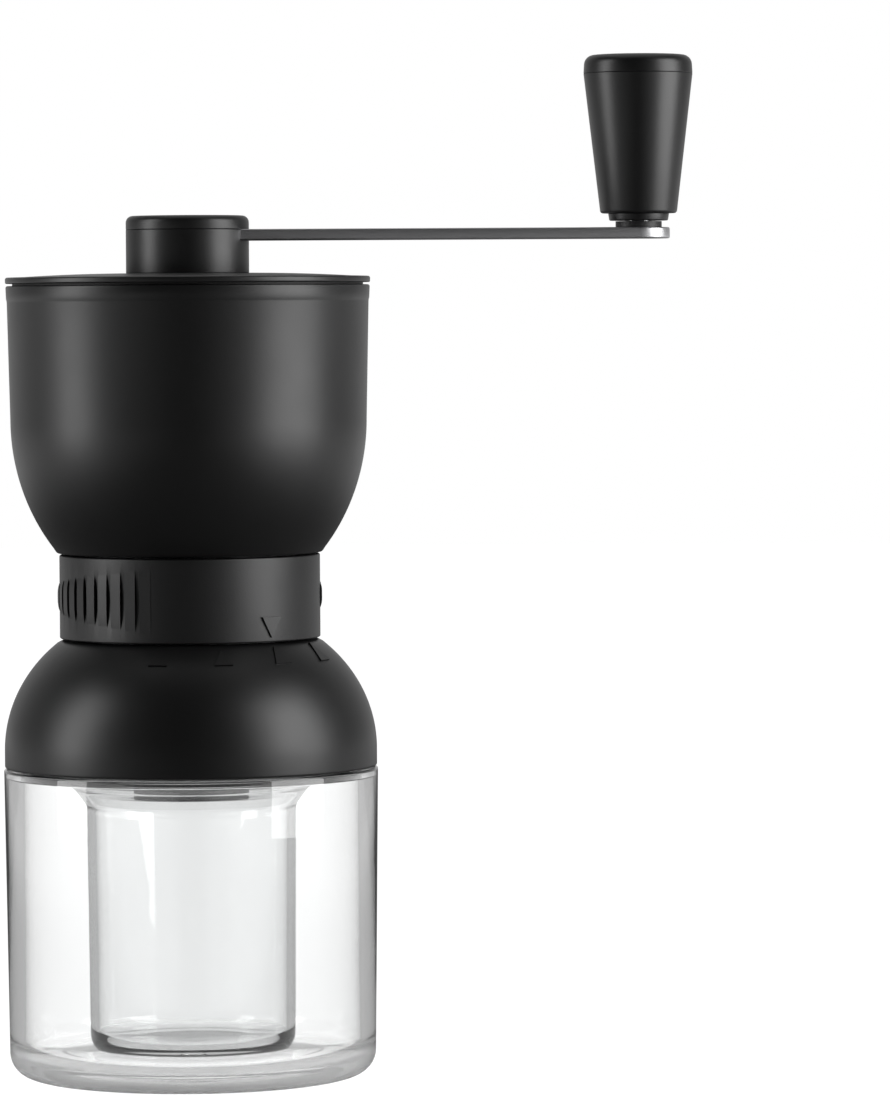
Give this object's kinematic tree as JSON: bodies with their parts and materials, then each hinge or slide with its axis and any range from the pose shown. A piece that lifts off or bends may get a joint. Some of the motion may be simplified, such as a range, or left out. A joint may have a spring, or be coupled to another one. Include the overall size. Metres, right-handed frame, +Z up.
{
  "type": "hand crank coffee grinder",
  "caption": "Hand crank coffee grinder: bean hopper with lid and crank, adjusting ring, domed collar and double-wall clear jar for the powder.",
  "frame": {"origin": "centre of the jar's foot, on the table", "axes": "+Z up along the mill's axis, -Y is the front, +X towards the knob"},
  "size_m": [0.1557, 0.084, 0.2288],
  "materials": {
    "black_plastic": "fine-grained matte moulding",
    "ring_plastic": "matte moulding with a slightly coarser grain",
    "knob_plastic": "matte moulding",
    "mill_plastic": "glass-filled plastic",
    "clear": "clear, polished",
    "silicone": "soft silicone",
    "black_silicone": "soft black silicone",
    "ceramic": "fired ceramic, slightly glossy",
    "bush_plastic": "acetal",
    "bronze": "turned",
    "steel": "turned and bright",
    "arm_steel": "brushed along the arm",
    "dark_washer": "acetal"
  },
  "bodies": {
    "jar": {"outer_jar": "clear", "inner_cup": "clear"},
    "seal": {"jar_seal": "silicone"},
    "mill": {"base_collar": "black_plastic", "powder_chute": "black_plastic", "collar_screws": "steel", "burr_housing": "mill_plastic", "lower_bridge": "mill_plastic", "lower_bush": "bush_plastic", "hopper_bowl": "black_plastic", "bearing_tower": "black_plastic", "tower_screws": "steel", "upper_bush": "bush_plastic"},
    "adjuster": {"adjusting_ring": "ring_plastic"},
    "carrier": {"burr_carrier": "mill_plastic", "outer_burr": "ceramic", "cam_pins": "steel"},
    "shaft": {"drive_shaft": "steel", "inner_burr": "ceramic", "drive_pin": "steel", "thrust_washer": "bronze", "burr_spring": "steel", "spring_washer": "steel", "retaining_clip": "steel"},
    "crank": {"hub_shell": "black_plastic", "hub_cap": "black_plastic", "hub_screws": "steel", "drive_socket": "steel", "crank_arm": "arm_steel", "knob_spindle": "steel", "spacer_washer": "dark_washer", "knob_washer": "steel", "knob_screw": "steel"},
    "knob": {"knob_body": "knob_plastic", "knob_cap": "knob_plastic", "knob_collar": "knob_plastic"},
    "lid": {"lid_disc": "black_plastic", "lid_gasket": "black_silicone", "lid_bush": "bush_plastic"}
  },
  "joints": [
    {"name": "unscrew_lift", "type": "slide", "parent": "jar", "child": "seal", "axis": [0, 0, 1], "range_m": [0, 0.0036]},
    {"name": "unscrew_turn", "type": "hinge", "parent": "seal", "child": "mill", "pos_m": [0, 0, 0.07], "axis": [0, 0, 1], "range_deg": [0, 160]},
    {"name": "ring_turn", "type": "hinge", "parent": "mill", "child": "adjuster", "pos_m": [0, 0, 0.107], "axis": [0, 0, 1], "range_deg": [-50, 25]},
    {"name": "carrier_travel", "type": "slide", "parent": "mill", "child": "carrier", "axis": [0, 0, 1], "range_m": [-0.00051, 0.00026]},
    {"name": "crank_turn", "type": "hinge", "parent": "mill", "child": "shaft", "pos_m": [0, 0, 0.13], "axis": [0, 0, 1], "continuous": true},
    {"name": "crank_pull", "type": "slide", "parent": "shaft", "child": "crank", "axis": [0, 0, 1], "range_m": [0, 0.09]},
    {"name": "knob_spin", "type": "hinge", "parent": "crank", "child": "knob", "pos_m": [0.1014, 0, 0.2], "axis": [0, 0, 1], "continuous": true},
    {"name": "lid_lift", "type": "slide", "parent": "mill", "child": "lid", "axis": [0, 0, 1], "range_m": [0, 0.055]}
  ],
  "couplings": [
    {"joint": "unscrew_lift", "follows": "unscrew_turn", "m_per_rad": 0.0012732},
    {"joint": "carrier_travel", "follows": "ring_turn", "m_per_rad": 0.00057296},
    {"joint": "lid_lift", "follows": "crank_pull", "ratio": 0.6}
  ]
}
